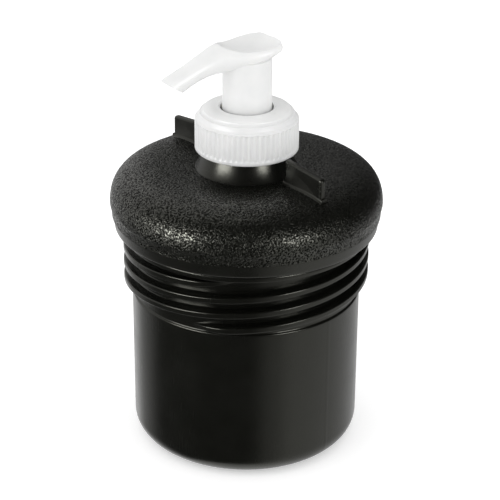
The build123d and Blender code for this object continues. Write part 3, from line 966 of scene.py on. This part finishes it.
def head_saddle():
    """Saddle and spout in one sweep from tail to mouth, with the thumb dish pressed in."""
    sections = rounded_tail() + smooth_curve(HEAD_SECTIONS, 12)
    vertices, faces = swept([press_dish(head_loop(*section)) for section in sections])
    return turned_to_spout(vertices), faces


def head_skirt():
    """Smooth tube under the saddle, still solid."""
    top = HEAD_SKIRT_TOP
    profile = outline(
        [(0, 0), (HEAD_SKIRT_R, 0, 0.5), (HEAD_SKIRT_R, top - 1), (HEAD_SKIRT_R - 1.2, top), (0, top)],
        1.0,
        closed=False,
    )
    vertices, faces = lathe(profile, 128)
    return vertices + HEAD_FOOT, faces


def skirt_hollow():
    """Room inside the skirt round the stem's socket, and the stem's bore up to the channel."""
    profile = outline(
        [
            (0, -0.5),
            (HEAD_SKIRT_IN_R, -0.5),
            (HEAD_SKIRT_IN_R, 17.6, 0.5),
            (STEM_SOCKET_R, 17.6, 0.4),
            (STEM_SOCKET_R, 7.6, 0.3),
            (STEM_R, 7.6),
            (STEM_R, 20.2),
            (3.0, 20.2),
            (3.0, 22.0),
            (0, 22.0),
        ],
        1.0,
        closed=False,
    )
    vertices, faces = lathe(profile, 96)
    return vertices + HEAD_FOOT, faces


def spout_channel():
    """Bore from above the stem to the mouth."""
    path = smooth_curve(SPOUT_CHANNEL, 10)
    rows = []
    for i, (x, z) in enumerate(path):
        before = path[max(i - 1, 0)]
        after = path[min(i + 1, len(path) - 1)]
        lean = -math.degrees(math.atan2(after[1] - before[1], after[0] - before[0]))
        rows.append(head_loop(x, z, lean, SPOUT_BORE_R, SPOUT_BORE_R, 40))
    vertices, faces = swept(rows)
    return turned_to_spout(vertices), faces


def make_head():
    head = new_object("pump_head", *head_saddle(), [MATERIALS["white_plastic"]])
    join(head, [head_skirt()])
    cut(head, *skirt_hollow())
    cut(head, *spout_channel())
    placed(head, "plunger", "white_plastic", "actuator_head")


# ---------------------------------------------------------------- parts that keep their CAD form
def finish_cad_nodes():
    """The inside parts keep their CAD shape and take the finish that the record names."""
    for subpart in frame["record"]["subparts"]:
        node = frame["nodes"].get(subpart["node"])
        if node is None or node.hide_render:
            continue
        node.data.materials.clear()
        node.data.materials.append(MATERIALS[subpart["material_slot"]])
        finish_shading(node.data)


# ---------------------------------------------------------------- studio
# Metres and degrees, except the floor, which is a mesh and so is drawn in millimetres
CAMERA_AZIMUTH = 45.0
CAMERA_ELEVATION = 25.64
CAMERA_DISTANCE = 0.734
CAMERA_TARGET = 0.0812
CAMERA_ROLL = 0.35
CAMERA_LENS = 127.4
CAMERA_SHIFT = 0.0078
LIGHT_DISTANCE = 1.3
LIGHT_TARGET = 0.09
FLOOR_HALF = 2000


def direction(azimuth, elevation):
    """Unit vector, where azimuth 0 points back at the camera and grows to the picture's right."""
    a = math.radians(CAMERA_AZIMUTH + azimuth)
    e = math.radians(elevation)
    return Vector((math.sin(a) * math.cos(e), -math.cos(a) * math.cos(e), math.sin(e)))


def make_camera():
    camera = bpy.data.cameras.new("camera")
    camera.lens = CAMERA_LENS
    camera.sensor_width = 36.0
    camera.shift_x = CAMERA_SHIFT
    camera.clip_start = 0.01
    holder = bpy.data.objects.new("camera", camera)
    target = Vector((0, 0, CAMERA_TARGET))
    holder.location = target + direction(0, CAMERA_ELEVATION) * CAMERA_DISTANCE
    roll = Quaternion((0, 0, 1), math.radians(CAMERA_ROLL))
    holder.rotation_euler = ((target - holder.location).to_track_quat("-Z", "Y") @ roll).to_euler()
    bpy.context.scene.collection.objects.link(holder)
    bpy.context.scene.camera = holder


def make_softbox(name, azimuth, elevation, width, height, power, mirrored):
    """Rectangular light that works only in reflections if mirrored, and only as soft light if not."""
    light = bpy.data.lights.new(name, "AREA")
    light.shape = "RECTANGLE"
    light.size = width
    light.size_y = height
    light.energy = power
    holder = bpy.data.objects.new(name, light)
    target = Vector((0, 0, LIGHT_TARGET))
    holder.location = target + direction(azimuth, elevation) * LIGHT_DISTANCE
    holder.rotation_euler = (target - holder.location).to_track_quat("-Z", "Y").to_euler()
    holder.visible_camera = False
    holder.visible_glossy = mirrored
    holder.visible_diffuse = not mirrored
    bpy.context.scene.collection.objects.link(holder)


def make_floor():
    """Pale paper that glows a little, so that it stays pale round the object."""
    far = FLOOR_HALF
    vertices = [(-far, -far, 0), (far, -far, 0), (far, far, 0), (-far, far, 0)]
    look = Look("floor", specular=0.0)
    look.colours(look.noise(60.0, 2.0), (0.89, 0.89, 0.89), (0.91, 0.91, 0.91))
    look.surface.inputs["Roughness"].default_value = 0.8
    look.surface.inputs["Emission Color"].default_value = (1, 1, 1, 1)
    look.surface.inputs["Emission Strength"].default_value = 0.42
    floor = new_object("floor", vertices, [(0, 1, 2, 3)], [look.material])
    floor.visible_glossy = False


def make_world():
    """White surroundings for the eye and for soft light. Reflections see a dark studio in front of
    the object with white walls at the sides and behind."""
    world = bpy.data.worlds.new("studio")
    bpy.context.scene.world = world
    world.use_nodes = True
    tree = world.node_tree
    tree.nodes.clear()

    def ramp(value, stops):
        node = tree.nodes.new("ShaderNodeValToRGB")
        node.color_ramp.interpolation = "EASE"
        elements = node.color_ramp.elements
        while len(elements) < len(stops):
            elements.new(0.5)
        for element, (position, level) in zip(elements, stops):
            element.position = position
            element.color = (level, level, level, 1)
        tree.links.new(value, node.inputs["Fac"])
        return node.outputs["Color"]

    place = tree.nodes.new("ShaderNodeTexCoord")
    turn = tree.nodes.new("ShaderNodeVectorRotate")
    turn.rotation_type = "Z_AXIS"
    turn.inputs["Angle"].default_value = math.radians(90 - CAMERA_AZIMUTH)
    split = tree.nodes.new("ShaderNodeSeparateXYZ")
    tree.links.new(place.outputs["Generated"], turn.inputs["Vector"])
    tree.links.new(turn.outputs["Vector"], split.inputs["Vector"])
    azimuth = math_node(tree, "ARCTAN2", split.outputs["Y"], split.outputs["X"])
    around = math_node(tree, "ADD", math_node(tree, "DIVIDE", azimuth, 2 * math.pi), 0.5)
    height = math_node(tree, "ADD", math_node(tree, "MULTIPLY", split.outputs["Z"], 0.5), 0.5)

    def at(degrees):
        """Place on a ramp round the object, from -180 to 180 degrees."""
        return degrees / 360 + 0.5

    def background(colour):
        node = tree.nodes.new("ShaderNodeBackground")
        tree.links.new(colour, node.inputs["Color"])
        return node.outputs["Background"]

    def choose(factor, otherwise, then):
        node = tree.nodes.new("ShaderNodeMixShader")
        tree.links.new(factor, node.inputs["Fac"])
        tree.links.new(otherwise, node.inputs[1])
        tree.links.new(then, node.inputs[2])
        return node.outputs["Shader"]

    low_walls = ramp(around, [
        (0.0, 0.8), (at(-150), 1.0), (at(-122), 0.45), (at(-95), 0.05), (at(5), 0.03), (at(28), 0.4),
        (at(50), 0.75), (1.0, 0.7),
    ])
    high_walls = ramp(around, [
        (0.0, 0.22), (at(-160), 0.9), (at(-115), 0.8), (at(-60), 0.08), (at(0), 0.015), (at(120), 0.02),
        (at(150), 0.08), (1.0, 0.22),
    ])
    steep_down = ramp(height, [(0.0, 1.0), (0.03, 1.0), (0.06, 0.0), (1.0, 0.0)])
    above = ramp(height, [(0.32, 0.0), (0.4, 1.0)])
    white = ramp(height, [(0.0, 1.0), (1.0, 1.0)])
    soft = ramp(height, [(0.45, 1.0), (1.0, 0.92)])
    walls = mix_node(tree, steep_down, mix_node(tree, above, low_walls, high_walls), white)

    path = tree.nodes.new("ShaderNodeLightPath")
    output = tree.nodes.new("ShaderNodeOutputWorld")
    unseen = choose(path.outputs["Is Glossy Ray"], background(soft), background(walls))
    shader = choose(path.outputs["Is Camera Ray"], unseen, background(white))
    tree.links.new(shader, output.inputs["Surface"])
    world.cycles.sampling_method = "NONE"


make_jar()
make_lid()
make_lid_gasket()
make_closure()
make_head()
finish_cad_nodes()
make_world()
make_floor()
make_softbox("shine_left", azimuth=-56, elevation=8, width=0.75, height=0.35, power=14, mirrored=True)
make_softbox("shine_right", azimuth=40, elevation=8, width=0.45, height=0.35, power=7, mirrored=True)
make_softbox("soft_key", azimuth=-60, elevation=45, width=0.7, height=0.7, power=1.5, mirrored=False)
make_camera()
bpy.context.scene.view_settings.view_transform = "Standard"
